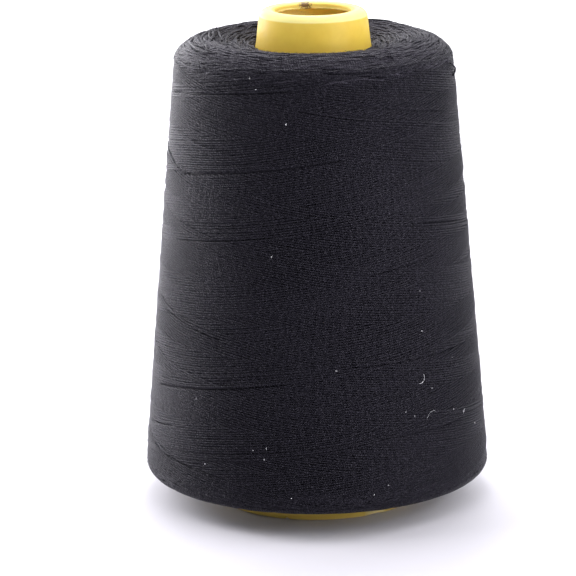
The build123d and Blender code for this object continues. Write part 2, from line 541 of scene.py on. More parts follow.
# turn-round loops that show on the top, the shoulder and the underside
def end_loops(top, t0, t1, pitch, gap, proud=0.0, seed=5):
    r = np.random.default_rng(seed)
    P, Rn = [], []
    run_no = 0
    ts = np.arange(t0, t1, pitch)
    for t in ts:
        zt = float(depth_turn(top, t))
        rad = float(side_r(zt)) - t
        if rad < wall_r(zt) + RS:
            continue
        n_loops = max(3, int(2 * np.pi * rad / gap))
        az0 = r.uniform(0, 2 * np.pi)
        for q in range(n_loops):
            a0 = az0 + (q + r.uniform(-0.45, 0.45)) * 2 * np.pi / n_loops
            tt = t + r.normal() * 0.15
            zt_l = float(depth_turn(top, max(tt, 0.05)))
            rad_l = float(side_r(zt_l)) - tt
            half = r.uniform(6.5, 9.5)
            x = np.arange(-half, half + 0.01, 1.15)
            w = r.uniform(2.2, 4.2)
            k = PITCH_MM / (2 * math.pi * rad_l) * r.uniform(0.9, 1.15)
            drop = k * (np.sqrt(x ** 2 + w ** 2) - w)
            deep = np.clip((22.0 - rad_l) / 8.0, 0, 1)
            brow = np.clip((rad_l - 22.0) / 3.0, 0, 1)
            dz = -drop + r.normal() * (0.09 + 0.12 * deep) - 0.32 - 0.06 * deep + 0.13 * brow + proud
            z = zt_l + (dz if top else -dz)
            lean = r.normal() * (0.045 + 0.12 * deep)
            bow = r.normal() * 0.014
            rad_x = rad_l - SIDE_K * (z - zt_l) + lean * x + bow * x ** 2 / 2
            rad_x = np.maximum(rad_x, wall_r(z) + RS * 0.8)
            rad_x = np.minimum(rad_x, package_r(z) - RS - (0.0 if top else 0.14))
            if top:
                z = np.minimum(z, top_z(rad_x) - 0.12 + 0.3 * brow)
            a = a0 + x / rad_l
            p = np.stack([rad_x * np.sin(a), -rad_x * np.cos(a), z], 1)
            if top:
                near = np.hypot(p[:, 0] + 23.34, p[:, 1] + 11.65)
                p[:, 2] -= 0.75 * np.exp(-(near / 0.75) ** 2)
            P.append(p)
            Rn.append(np.full(len(x), run_no))
            run_no += 1
    return np.concatenate(P), np.concatenate(Rn)


top_pts, top_run = end_loops(True, 0.35, 19.2, 0.36, 4.6, seed=11)
bot_pts, bot_run = end_loops(False, 0.35, 19.2, 0.44, 6.5, seed=12)
print("LOOPS", len(top_pts), len(bot_pts))

# ---------------------------------------------------------------------------
# Thread material
# ---------------------------------------------------------------------------
def thread_material(name, tint=1.0, cool=1.0):
    n = Nodes(name)
    b = n.b
    co = n.new("ShaderNodeTexCoord").outputs["Object"]
    # broad, faint differences between stretches of the winding
    big = n.new("ShaderNodeTexNoise", Scale=55.0, Detail=3.0, Roughness=0.6)
    m = n.new("ShaderNodeMapping")
    m.inputs["Scale"].default_value = (1.0, 1.0, 6.0)
    n.link(co, m.inputs["Vector"])
    n.link(m.outputs["Vector"], big.inputs["Vector"])
    # fibre grain, much finer than a strand
    fine = n.new("ShaderNodeTexNoise", Scale=5200.0, Detail=2.0, Roughness=0.7)
    n.link(co, fine.inputs["Vector"])
    # the strand's own coordinates: x in millimetres along it, y once round it
    uv = n.new("ShaderNodeUVMap", uv_map="Strand")
    sep = n.new("ShaderNodeSeparateXYZ")
    n.link(uv.outputs["UV"], sep.inputs["Vector"])
    along = sep.outputs["X"]
    # uneven, slightly hairy yarn: lighter and darker patches about as long as the strand is thick
    cell = n.new("ShaderNodeCombineXYZ")
    n.link(n.math("MULTIPLY", along, 2.0), cell.inputs["X"])
    n.link(n.math("MULTIPLY", sep.outputs["Y"], 3.0), cell.inputs["Y"])
    slub = n.new("ShaderNodeTexNoise", Scale=1.0, Detail=1.0, Roughness=0.5)
    slub.noise_dimensions = "2D"
    n.link(cell.outputs["Vector"], slub.inputs["Vector"])
    # and slower changes of its thickness and hairiness
    slow = n.new("ShaderNodeTexNoise", Scale=1.0, Detail=1.0, Roughness=0.5)
    slow.noise_dimensions = "1D"
    n.link(n.math("MULTIPLY", along, 0.20), slow.inputs["W"])
    dark = (0.0052 * tint, 0.0048 * tint, 0.0076 * tint * cool)
    lite = (0.0106 * tint, 0.0098 * tint, 0.0149 * tint * cool)
    mixed = n.mix(0.80, big.outputs["Fac"], fine.outputs["Fac"])
    col = n.ramp(mixed, [(0.32, dark), (0.68, lite)])
    # plies twisted round the strand, with painted shade in the grooves between them and a little painted light on their
    # crests
    tw = n.math("ADD", n.math("MULTIPLY", along, 0.92), sep.outputs["Y"])
    ply = n.math("SINE", n.math("MULTIPLY", tw, 2 * math.pi * 2))
    ply_shade = n.ramp(n.math("MULTIPLY_ADD", ply, 0.5, 0.5), [(0.0, (0.74, 0.74, 0.74)), (0.45, (0.98, 0.98, 0.98)), (1.0, (1.10, 1.10, 1.10))])
    grain = n.ramp(slub.outputs["Fac"], [(0.30, (0.94, 0.94, 0.94)), (0.5, (0.99, 0.99, 0.99)), (0.60, (1.03, 1.03, 1.03)), (0.72, (1.09, 1.09, 1.09))])
    streak = n.ramp(slow.outputs["Fac"], [(0.32, (0.84, 0.84, 0.84)), (0.5, (0.99, 0.99, 0.99)), (0.68, (1.18, 1.18, 1.18))])
    shade = n.mix(1.0, n.mix(1.0, ply_shade, grain, "MULTIPLY"), streak, "MULTIPLY")
    n.link(n.mix(1.0, col, shade, "MULTIPLY"), b.inputs["Base Color"])
    glint = n.ramp(slub.outputs["Fac"], [(0.36, (0.11, 0.11, 0.11)), (0.50, (0.20, 0.20, 0.20)), (0.60, (0.33, 0.33, 0.33)), (0.72, (0.54, 0.54, 0.54))])
    n.link(n.math("MULTIPLY", glint, 0.76), b.inputs["Specular IOR Level"])
    b.inputs["Sheen Weight"].default_value = 0.06
    rough = n.ramp(fine.outputs["Fac"], [(0.3, (0.36, 0.36, 0.36)), (0.7, (0.56, 0.56, 0.56))])
    n.link(rough, b.inputs["Roughness"])
    b.inputs["Specular Tint"].default_value = (0.90, 0.86, 1.0, 1.0)
    b.inputs["Sheen Roughness"].default_value = 0.25
    b.inputs["Sheen Tint"].default_value = (0.88, 0.86, 1.0, 1.0)
    bump = n.new("ShaderNodeBump", Strength=1.0)
    bump.inputs["Distance"].default_value = 0.00010
    h = n.math("ADD", n.math("MULTIPLY", ply, 0.35), n.math("MULTIPLY", fine.outputs["Fac"], 0.4))
    h = n.math("ADD", h, n.math("MULTIPLY", slub.outputs["Fac"], 2.0))
    n.link(h, bump.inputs["Height"])
    n.link(bump.outputs["Normal"], b.inputs["Normal"])
    return n.mat


THREAD = thread_material("thread_black")
# the turns on the top get a copy of the thread material 3.2 times lighter and less blue: painted light on the top,
# which faces the lamps
THREAD_TOP_LIT = thread_material("thread_black_top_lit", 3.2, 0.86)
THREAD_STRAY = thread_material("thread_black_loose", 1.4, 0.9)

PIECES = []


def finish_piece(ob, mat):
    ob.data.materials.clear()
    ob.data.materials.append(mat)
    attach(ob, "root")
    PIECES.append(ob)
    return ob


# body of the package under the strands
r_s = np.linspace(side_r(Z_SHOULDER), wall_r(Z_TOP_IN), 60)
prof = []
IN = 0.62
for a_ in np.linspace(-90, 0, 12):
    prof.append((SIDE_R0 - R_EDGE + (R_EDGE - IN) * math.cos(math.radians(a_)),
                 Z_BOT + R_EDGE + (R_EDGE - IN) * math.sin(math.radians(a_))))
for z_ in np.linspace(12, Z_SHOULDER, 60):
    prof.append((side_r(z_) - IN, z_))
for v_ in np.linspace(0.08, 1, 24):
    a_ = v_ * math.pi / 2
    prof.append((R_CREST + (R_SHOULDER - R_CREST - IN) * math.cos(a_), Z_SHOULDER + (Z_CREST - Z_SHOULDER - IN) * math.sin(a_)))
for r_ in np.linspace(R_CREST - 0.5, wall_r(Z_TOP_IN) + 0.05, 20):
    prof.append((r_, float(top_z(r_)) - IN))
prof.append((wall_r(Z_TOP_IN - 2) + 0.02, Z_TOP_IN - 2))
for z_ in np.linspace(96, Z_BOT_IN + 1.5, 30):
    prof.append((wall_r(z_) + 0.02, z_))
prof.append((wall_r(Z_BOT_IN) + 0.1, Z_BOT_IN + IN))
body = outward(lathe("thread_body", prof, 160))
finish_piece(body, thread_material("thread_black_deep", 1.0))
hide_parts("thread_package")

# strands, in pieces small enough to handle
def split_pieces(prefix, pts, nrm, run, parts, sides=6, key=None, rad=RS, mat=None):
    n_runs = int(run.max()) + 1
    first = np.where(np.r_[True, run[1:] != run[:-1]])[0]
    where = key[first] if key is not None else np.arange(n_runs)
    order = np.argsort(where, kind="stable")
    lens = np.diff(np.r_[first, len(run)])
    cum = np.cumsum(lens[order])
    bins = np.minimum((cum - 1) * parts // cum[-1], parts - 1)
    group = np.empty(n_runs, int)
    group[order] = bins
    r2 = np.random.default_rng(3)
    phase = r2.uniform(0, 900, n_runs)
    for g in range(parts):
        m = group[run] == g
        rg = run[m]
        if not len(rg):
            continue
        _, rg2 = np.unique(rg, return_inverse=True)
        ob = tubes("%s_%02d" % (prefix, g + 1), pts[m], nrm[m], np.full(m.sum(), rad), rg2, sides=sides,
                   squash=0.92, phase=phase)
        finish_piece(ob, mat or THREAD)


tri = len(Q) * 10
parts = max(1, math.ceil(tri / 185000))
split_pieces("thread_wraps", side_pts, side_nrm, RUN, parts, sides=5, key=zz)


def loops_nrm(p, top):
    r = np.hypot(p[:, 0], p[:, 1])
    out = np.stack([p[:, 0] / r, p[:, 1] / r, 0 * r], 1)
    f = np.clip((r - R_CREST) / (R_SHOULDER - R_CREST), 0, 1)[:, None] if top else np.clip((r - (SIDE_R0 - R_EDGE)) / R_EDGE, 0, 1)[:, None]
    v = out * f + np.array([0, 0, 1.0 if top else -1.0])[None] * (1 - f * 0.7)
    return v / np.linalg.norm(v, axis=1, keepdims=True)


# the top turns wear the lighter copy of the thread material, a painted light
split_pieces("thread_turns_top", top_pts, loops_nrm(top_pts, True), top_run, max(1, math.ceil(len(top_pts) * 12 / 185000)), mat=THREAD_TOP_LIT)
split_pieces("thread_turns_bottom", bot_pts, loops_nrm(bot_pts, False), bot_run, max(1, math.ceil(len(bot_pts) * 12 / 185000)))

# ---------------------------------------------------------------------------
# Strands that stand proud, lint and loose fibre ends
# ---------------------------------------------------------------------------
STRAYS = {
    "loop": ((-20.40, -5.04, 106.62), (-21.01, 0.85, 106.87), (-21.58, 5.52, 107.24), (-21.97, 6.80, 107.58), (-22.36, 5.97, 107.29), (-22.57, 1.74, 106.97), (-22.62, -1.92, 106.47)),
    "loop2": ((-22.67, -3.94, 106.58), (-23.47, 0.25, 107.00), (-23.28, 5.52, 107.15), (-22.67, 3.78, 107.08), (-22.31, -1.04, 106.55)),
    "pit_arc": ((-27.66, -2.92, 105.90), (-26.80, -8.25, 106.09), (-25.78, -12.01, 105.94), (-24.36, -14.82, 105.85), (-22.75, -16.74, 105.94), (-20.95, -18.02, 105.87)),
    "pit_arc2": ((-24.09, -8.78, 106.52), (-23.77, -12.14, 106.61), (-23.48, -14.50, 106.34), (-22.55, -15.91, 106.04)),
    "step": ((9.2, 24.2, 106.40), (10.49, 23.29, 106.62), (12.09, 21.65, 106.80), (13.95, 21.56, 106.78), (15.78, 20.40, 106.82), (17.37, 19.23, 106.80), (18.26, 17.93, 106.70), (18.53, 15.14, 106.30)),
    "bright_arc": ((14.52, -24.77, 105.48), (15.20, -24.01, 105.90), (16.08, -23.32, 106.00), (16.96, -23.02, 105.80), (17.62, -23.11, 105.27)),
    "bright_arc2": ((10.59, -25.59, 106.00), (11.47, -24.96, 106.29), (12.79, -24.39, 106.26), (13.88, -24.22, 105.90)),
    "bump": ((30.6, -8.6, 101.7), (31.25, -7.4, 100.9), (31.66, -6.0, 100.2), (31.72, -5.42, 99.75), (31.66, -5.25, 99.23), (31.25, -6.37, 98.5)),
    "topspec": ((-7.68, -26.40, 106.13), (-7.24, -26.20, 106.50), (-6.70, -26.36, 106.25)),
    "left_arc": ((-29.45, -10.36, 102.89), (-28.46, -13.34, 102.61), (-27.03, -16.12, 102.53), (-25.41, -18.45, 102.70), (-23.58, -20.48, 102.88)),
}


def spline(ctrl, n):
    """n points on a Catmull-Rom curve through the control points."""
    c = np.asarray(ctrl, float)
    c = np.concatenate([2 * c[:1] - c[1:2], c, 2 * c[-1:] - c[-2:-1]])
    t = np.linspace(0, len(c) - 3 - 1e-9, n)
    i = t.astype(int)
    f = (t - i)[:, None]
    p0, p1, p2, p3 = c[i], c[i + 1], c[i + 2], c[i + 3]
    return 0.5 * ((2 * p1) + (-p0 + p2) * f + (2 * p0 - 5 * p1 + 4 * p2 - p3) * f ** 2 + (-p0 + 3 * p1 - 3 * p2 + p3) * f ** 3)


def outward_dir(p):
    r = np.hypot(p[:, 0], p[:, 1]) + 1e-9
    return np.stack([p[:, 0] / r, p[:, 1] / r, 0.5 + 0 * r], 1)


P, Rn = [], []
for ctrl in STRAYS.values():
    p = spline(ctrl, 6 * len(ctrl))
    P.append(p)
    Rn.append(np.full(len(p), len(P) - 1))
# a few more loops that were left a little high, round the top
r5 = np.random.default_rng(5)
for _k in range(34):
    a0 = r5.uniform(0, 2 * np.pi)
    r0 = r5.uniform(18.0, 30.5)
    half = r5.uniform(1.6, 3.6)
    x = np.linspace(-half, half, 11)
    rad_ = r0 + r5.normal() * 0.12 * x + r5.uniform(-0.06, 0.06) * x ** 2
    z_ = top_z(rad_) + r5.uniform(-0.15, 0.12) - 0.10 * x ** 2
    a_ = a0 + x / r0
    P.append(np.stack([rad_ * np.sin(a_), -rad_ * np.cos(a_), z_], 1))
    Rn.append(np.full(11, len(P) - 1))
P, Rn = np.concatenate(P), np.concatenate(Rn)
finish_piece(tubes("thread_strays", P, outward_dir(P), np.full(len(P), RS * 0.96), Rn, phase=np.zeros(len(P))), THREAD_STRAY)

# lint: (azimuth in degrees, height, size)
LINT = [
    (40.0, 54.1, 0.26), (6.8, 38.6, 0.30), (-17.5, 18.5, 0.26), (-8.4, 10.1, 0.24), (-21.4, 20.3, 0.24), (-16.8, 21.0, 0.22),
    (-26.1, 102.25, 0.34), (-23.2, 100.0, 0.32), (-10.8, 92.7, 0.30), (-15.8, 63.7, 0.24), (-39.7, 15.4, 0.26), (54.6, 37.3, 0.24),
    (67.7, 19.8, 0.26), (53.4, 25.6, 0.24), (31.1, 27.9, 0.24), (34.6, 26.6, 0.22), (18.5, 10.3, 0.24), (23.5, 12.1, 0.22),
    (39.8, 45.2, 0.22), (42.8, 31.9, 0.24), (-45.0, 29.7, 0.24),
]


def on_side(az_deg, z, off):
    a_ = np.radians(az_deg)
    r_ = package_r(z) + off
    return np.stack([r_ * np.sin(a_), -r_ * np.cos(a_), z + 0 * a_], -1)


P, Rn, Ra = [], [], []


def lint_bit(pts, rad_):
    P.append(pts)
    Rn.append(np.full(len(pts), len(P) - 1))
    taper = np.sin(np.linspace(0.35, np.pi - 0.35, len(pts)))
    Ra.append(rad_ * taper)


for azd, z_, size in LINT:
    for _k in range(3):
        ang = r5.uniform(0, np.pi)
        s_ = np.linspace(-0.5, 0.5, 6) * size * r5.uniform(0.8, 1.7)
        dz_ = s_ * np.sin(ang) + r5.normal(size=6) * 0.03 + r5.normal() * 0.05
        da_ = np.degrees((s_ * np.cos(ang) + r5.normal(size=6) * 0.03) / 36)
        lint_bit(on_side(azd + da_, z_ + dz_, 0.06 + 0.10 * np.cos(np.linspace(-1.5, 1.5, 6))), r5.uniform(0.040, 0.062))
lint_bit(on_side(np.array([59.2, 59.5, 59.9, 60.3]), np.array([23.6, 23.95, 24.3, 24.55]), 0.12), 0.10)
lint_bit(on_side(np.array([58.7, 59.2, 59.5]), np.array([24.3, 24.15, 23.9]), 0.14), 0.07)
_c = spline(((39.5, 35.5, 0.05), (39.6, 34.8, 0.16), (39.3, 34.2, 0.2), (38.6, 33.75, 0.18), (37.6, 33.6, 0.12), (37.1, 33.75, 0.05)), 22)
lint_bit(on_side(_c[:, 0], _c[:, 1], _c[:, 2]), 0.058)
_c = spline(((39.6, 25.1, 0.05), (40.1, 25.6, 0.1), (41.1, 26.4, 0.14), (42.6, 26.8, 0.12), (43.9, 26.5, 0.05)), 20)
lint_bit(on_side(_c[:, 0], _c[:, 1], _c[:, 2]), 0.030)
for _k in range(26):          # the other sides carry their share of lint
    azd, z_ = r5.uniform(75, 285), r5.uniform(10, 100)
    ang = r5.uniform(0, np.pi)
    s_ = np.linspace(-0.5, 0.5, 5) * r5.uniform(0.3, 0.6)
    lint_bit(on_side(azd + np.degrees(s_ * np.cos(ang) / 36), z_ + s_ * np.sin(ang), 0.08), r5.uniform(0.035, 0.055))
P, Rn, Ra = np.concatenate(P), np.concatenate(Rn), np.concatenate(Ra)
_lint = Nodes("lint_grey")
_lc = _lint.new("ShaderNodeTexCoord").outputs["Object"]
_ln = _lint.new("ShaderNodeTexNoise", Scale=3000.0, Detail=2.0)
_lint.link(_lc, _ln.inputs["Vector"])
_lint.link(_lint.ramp(_ln.outputs["Fac"], [(0.3, (0.38, 0.38, 0.40)), (0.7, (0.78, 0.78, 0.80))]), _lint.b.inputs["Base Color"])
_lint.b.inputs["Roughness"].default_value = 0.8
finish_piece(tubes("lint", P, outward_dir(P), Ra, Rn, sides=5), _lint.mat)

# loose fibre ends, much finer than the thread
N_FUZZ = 3000
k5 = np.arange(6) / 5.0
a_ = r5.uniform(0, 2 * np.pi, N_FUZZ)
z_ = r5.uniform(7.0, 102.5, N_FUZZ)
len_ = r5.uniform(0.5, 1.9, N_FUZZ)
dir_ = np.radians(r5.normal(0, 28, N_FUZZ)) + np.pi * (r5.random(N_FUZZ) < 0.5)
out_ = r5.uniform(0.10, 0.42, N_FUZZ)
curl = r5.normal(0, 0.9, N_FUZZ)
th = dir_[:, None] + curl[:, None] * k5[None]
sx = np.cumsum(np.cos(th), 1) * (len_ / 6)[:, None]
sz = np.cumsum(np.sin(th), 1) * (len_ / 6)[:, None]
zz_ = z_[:, None] + sz
rad_ = package_r(zz_) - 0.08 + out_[:, None] * np.sin(k5 * 2.4)[None]
aa_ = a_[:, None] + sx / 36.0
side_f = np.stack([rad_ * np.sin(aa_), -rad_ * np.cos(aa_), zz_], -1).reshape(-1, 3)
N_TOPF = 700
a_ = r5.uniform(0, 2 * np.pi, N_TOPF)
r_ = r5.uniform(13.6, 30.5, N_TOPF)
len_ = r5.uniform(0.6, 2.0, N_TOPF)
th = (r5.uniform(0, 2 * np.pi, N_TOPF))[:, None] + r5.normal(0, 0.9, N_TOPF)[:, None] * k5[None]
rr_ = r_[:, None] + np.cumsum(np.sin(th), 1) * (len_ / 6)[:, None]
aa_ = a_[:, None] + np.cumsum(np.cos(th), 1) * (len_ / 6)[:, None] / r_[:, None]
zt_ = top_z(np.clip(rr_, 13.4, 31.4)) - 0.05 + r5.uniform(0.12, 0.5, N_TOPF)[:, None] * np.sin(k5 * 2.6)[None]
top_f = np.stack([rr_ * np.sin(aa_), -rr_ * np.cos(aa_), zt_], -1).reshape(-1, 3)
P = np.concatenate([side_f, top_f])
Rn = np.repeat(np.arange(N_FUZZ + N_TOPF), 6)
Ra = np.tile(0.0125 * np.array([1, 1, 1, 0.9, 0.7, 0.35]), N_FUZZ + N_TOPF)
finish_piece(tubes("thread_fuzz", P, outward_dir(P), Ra, Rn, sides=3), thread_material("thread_fuzz", 6.0))

# ---------------------------------------------------------------------------
# Moulded cone
# ---------------------------------------------------------------------------
def inner_r(z):
    return wall_r(z) - WALL


def arc_pts(cx, cz, rx, rz, d0, d1, n):
    t = np.radians(np.linspace(d0, d1, n))
    return [(cx + rx * math.cos(v), cz + rz * math.sin(v)) for v in t]


core = [(inner_r(0) + 0.33, 0.0), (21.3, 0.0), (22.3, 0.0)]
core += arc_pts(FOOT_R - 0.15, 0.15, 0.15, 0.15, -90, 0, 5)
core += [(FOOT_R, z_) for z_ in (0.28, 0.45)]
core += [(FOOT_R, z_) for z_ in (0.7, 1.0, 1.35)]
core += arc_pts(FOOT_R - 0.6, 1.7, 0.6, 0.6, 0, 90, 7)
core += arc_pts(wall_r(3.0) + 0.7, 3.0, 0.7, 0.7, 270, 180, 7)
_z = 5.0
for _g in range(10):
    z0 = 14.0 + 9.0 * _g
    while _z < z0 - 0.8:
        core.append((wall_r(_z), _z))
        _z += 2.2
    core += [(wall_r(z0), z0), (wall_r(z0 + 0.3) - 0.3, z0 + 0.3), (wall_r(z0 + 0.9) - 0.3, z0 + 0.9), (wall_r(z0 + 1.2), z0 + 1.2)]
    _z = z0 + 2.4
NOSE_Z = HEIGHT - 2.2 * (1 - math.sin(math.radians(16)))      # where the side turns into the rounded crown
for z_ in np.linspace(99.5, NOSE_Z - 0.12, 17):
    core.append((wall_r(z_), z_))
core += arc_pts(wall_r(NOSE_Z) - 2.0 * math.cos(math.radians(16)), HEIGHT - 2.2, 2.0, 2.2, 16, 90, 13)
core += [(10.6, 112.985), (10.05, 112.94), (9.55, 112.87)]
core += arc_pts(BORE_R + 0.5, 112.3, 0.5, 0.48, 105, 180, 7)
LIP_I = len(core)
core += [(BORE_R, 112.05), (BORE_R, 111.8), (BORE_R, 111.6), (BORE_R + 0.25, 111.6), (9.4, 111.6)]
core += arc_pts(inner_r(110.6) - 1.0, 110.6, 1.0, 1.0, 90, 0, 6)
for z_ in np.linspace(109.5, 0.6, 40):
    core.append((inner_r(z_), z_))
SEGS = 300
_na = np.arange(SEGS) * 2 * np.pi / SEGS


def ring_noise(k0, k1, seed):
    """Noise round the axis: waves k0..k1 to the turn."""
    r = np.random.default_rng(seed)
    v = 0
    for k in range(k0, k1 + 1):
        v = v + r.normal() * np.sin(k * _na + r.uniform(0, 6.28)) / math.sqrt(k1 - k0 + 1)
    return v


_round, _rag1, _rag2 = ring_noise(2, 5, 1), ring_noise(14, 60, 2), ring_noise(25, 90, 3)


def window(az_deg, lo, hi, soft):
    return np.clip((az_deg - lo) / soft, 0, 1) * np.clip((hi - az_deg) / soft, 0, 1)


def core_shape(az, i, r, z):
    deg = np.degrees(az)
    deg = np.where(deg > 180, deg - 360, deg)
    r = r + 0.025 * _round[:, None]
    r = r + 0.3 * np.clip((r - 21.9) / 1.0, 0, 1) * np.clip((2.8 - z) / 0.6, 0, 1)
    # broken edge of the foot ring, and a small nick
    w = window(deg, 27, 40, 1.6) * np.clip((r - 20.9) / 1.0, 0, 1) * (z < 0.9)
    z = z + w * (0.10 + 0.07 * _rag2[:, None]) * np.clip(1 - z / 1.2, 0, 1)
    r = r - w * (0.10 + 0.08 * _rag1[:, None]) * (z < 1.0)
    w = window(deg, -18.2, -15.6, 0.9) * (r > 22.4) * (z < 0.9)
    z = z + w * 0.35
    # ragged flash on the lower edge of the lip, on the far side of the hole
    f = window(np.degrees(az), 118, 252, 12) * (0.13 + 0.10 * np.clip(_rag1, -1, 2.2) + 0.05 * _rag2)[:, None]
    edge = (i == LIP_I + 2) | (i == LIP_I + 3)
    r = r - np.where(edge, np.clip(f, 0, 0.42), 0)
    z = z - np.where(edge, 0.05 * np.abs(_rag2)[:, None], 0)
    # the nose is drawn in a little above the thread
    r = r - np.clip((r - 10.5) / 0.8, 0, 1) * (0.34 * np.clip((z - 102.5) / 3.5, 0, 1) + 0.16 * np.clip((z - 106.5) / 5, 0, 1))
    # the nose's top is not perfectly flat
    z = z + np.where(z > 111.9, 0.035 * _round[:, None], 0)
    return r, z


cone = outward(lathe("cone_moulding", core, SEGS, shift=core_shape))


def plastic_material():
    n = Nodes("cone_plastic")
    b = n.b
    co = n.new("ShaderNodeTexCoord").outputs["Object"]
    big = n.new("ShaderNodeTexNoise", Scale=85.0, Detail=4.0, Roughness=0.6)
    n.link(co, big.inputs["Vector"])
    col = n.ramp(big.outputs["Fac"], [(0.28, (0.745, 0.505, 0.060)), (0.55, (0.825, 0.590, 0.080)), (0.78, (0.875, 0.665, 0.115))])

    def spot(point, radius, rough_scale, seed):
        """1 inside a ragged patch round a point, 0 outside."""
        d = n.new("ShaderNodeVectorMath", operation="DISTANCE")
        n.link(co, d.inputs[0])
        d.inputs[1].default_value = tuple(c * MM for c in point)
        t = n.new("ShaderNodeTexNoise", Scale=rough_scale, Detail=3.0, Roughness=0.7)
        n.link(co, t.inputs["Vector"])
        jag = n.math("MULTIPLY", n.math("SUBTRACT", t.outputs["Fac"], 0.5), radius * MM * seed)
        e = n.math("ADD", d.outputs["Value"], jag)
        m = n.new("ShaderNodeMapRange", interpolation_type="SMOOTHSTEP")
        m.inputs["From Min"].default_value = radius * MM * 0.55
        m.inputs["From Max"].default_value = radius * MM
        m.inputs["To Min"].default_value = 1.0
        m.inputs["To Max"].default_value = 0.0
        n.link(e, m.inputs["Value"])
        return m.outputs["Result"]

    # stress-whitened break in the foot ring
    col = n.mix(n.math("MULTIPLY", spot((13.2, -19.5, 0.6), 3.2, 1200.0, 1.4), 0.9), col, (0.96, 0.91, 0.54))
    # a painted highlight along the lower edge of the foot ring, broken up by noise
    edge = n.new("ShaderNodeMapRange", interpolation_type="SMOOTHSTEP")
    esep = n.new("ShaderNodeSeparateXYZ")
    n.link(co, esep.inputs["Vector"])
    for k, v in (("From Min", 0.00015), ("From Max", 0.00045), ("To Min", 0.7), ("To Max", 0.0)):
        edge.inputs[k].default_value = v
    n.link(esep.outputs["Z"], edge.inputs["Value"])
    foot_edge_highlight_noise = n.new("ShaderNodeTexNoise", Scale=420.0, Detail=3.0, Roughness=0.6)
    n.link(co, foot_edge_highlight_noise.inputs["Vector"])
    col = n.mix(n.math("MULTIPLY", edge.outputs["Result"], foot_edge_highlight_noise.outputs["Fac"]), col, (0.95, 0.88, 0.55))
    # handling dirt and painted shade in the corner where the thread leaves the nose
    sep = n.new("ShaderNodeSeparateXYZ")
    n.link(co, sep.inputs["Vector"])
    nose_corner_dirt_and_shade = n.new("ShaderNodeMapRange", interpolation_type="SMOOTHSTEP")
    for k, v in (("From Min", 0.1040), ("From Max", 0.1072), ("To Min", 0.45), ("To Max", 0.0)):
        nose_corner_dirt_and_shade.inputs[k].default_value = v
    n.link(sep.outputs["Z"], nose_corner_dirt_and_shade.inputs["Value"])
    col = n.mix(n.math("MULTIPLY", nose_corner_dirt_and_shade.outputs["Result"], big.outputs["Fac"]), col, (0.50, 0.30, 0.04))
    # the inside of the bore is painted paler: painted light in the hole
    rad = n.math("SQRT", n.math("ADD", n.math("MULTIPLY", sep.outputs["X"], sep.outputs["X"]), n.math("MULTIPLY", sep.outputs["Y"], sep.outputs["Y"])))
    deep_z = n.new("ShaderNodeMapRange", interpolation_type="SMOOTHSTEP")
    for k, v in (("From Min", 0.1116), ("From Max", 0.1122), ("To Min", 1.0), ("To Max", 0.0)):
        deep_z.inputs[k].default_value = v
    n.link(sep.outputs["Z"], deep_z.inputs["Value"])
    wall_in = n.new("ShaderNodeMapRange", interpolation_type="SMOOTHSTEP")
    for k, v in (("From Min", -0.0009), ("From Max", -0.0004), ("To Min", 1.0), ("To Max", 0.0)):
        wall_in.inputs[k].default_value = v
    n.link(n.math("SUBTRACT", rad, n.math("MULTIPLY_ADD", sep.outputs["Z"], -TAPER, WALL_R0 * MM)), wall_in.inputs["Value"])
    bore_painted_light = n.math("MULTIPLY", wall_in.outputs["Result"], deep_z.outputs["Result"])
    col = n.mix(n.math("MULTIPLY", bore_painted_light, 0.75), col, (0.95, 0.80, 0.34))
    # the flat top is painted pale, mottled by the broad noise: a painted highlight
    crown = n.new("ShaderNodeMapRange", interpolation_type="SMOOTHSTEP")
    for k, v in (("From Min", 0.11135), ("From Max", 0.11165), ("To Min", 0.0), ("To Max", 1.0)):
        crown.inputs[k].default_value = v
    n.link(sep.outputs["Z"], crown.inputs["Value"])
    hole = n.new("ShaderNodeMapRange", interpolation_type="SMOOTHSTEP")
    for k, v in (("From Min", 0.0090), ("From Max", 0.0097), ("To Min", 0.25), ("To Max", 1.0)):
        hole.inputs[k].default_value = v
    n.link(rad, hole.inputs["Value"])
    crown_highlight_mottle = n.math("MULTIPLY_ADD", big.outputs["Fac"], 0.5, 0.66)
    col = n.mix(n.math("MULTIPLY", n.math("MULTIPLY", crown.outputs["Result"], hole.outputs["Result"]), crown_highlight_mottle), col, (0.92, 0.84, 0.33))
    # smudge on the far side of the lip
    col = n.mix(n.math("MULTIPLY", spot((-1.8, 8.7, 112.6), 1.6, 2600.0, 4.2), 0.92), col, (0.12, 0.050, 0.030))
    # the foot is painted darker: painted shade under the overhanging thread
    foot = n.new("ShaderNodeMapRange", interpolation_type="SMOOTHSTEP")
    for k, v in (("From Min", 0.002), ("From Max", 0.006), ("To Min", 0.52), ("To Max", 0.0)):
        foot.inputs[k].default_value = v
    n.link(sep.outputs["Z"], foot.inputs["Value"])
    col = n.mix(foot.outputs["Result"], col, (0.42, 0.30, 0.07))
    n.link(col, b.inputs["Base Color"])
    b.inputs["Coat Weight"].default_value = 0.07
    b.inputs["Coat Roughness"].default_value = 0.16
    fine = n.new("ShaderNodeTexNoise", Scale=900.0, Detail=3.0, Roughness=0.6)
    n.link(co, fine.inputs["Vector"])
    rough = n.ramp(fine.outputs["Fac"], [(0.3, (0.50, 0.50, 0.50)), (0.75, (0.64, 0.64, 0.64))])
    n.link(rough, b.inputs["Roughness"])
    b.inputs["Specular IOR Level"].default_value = 0.24
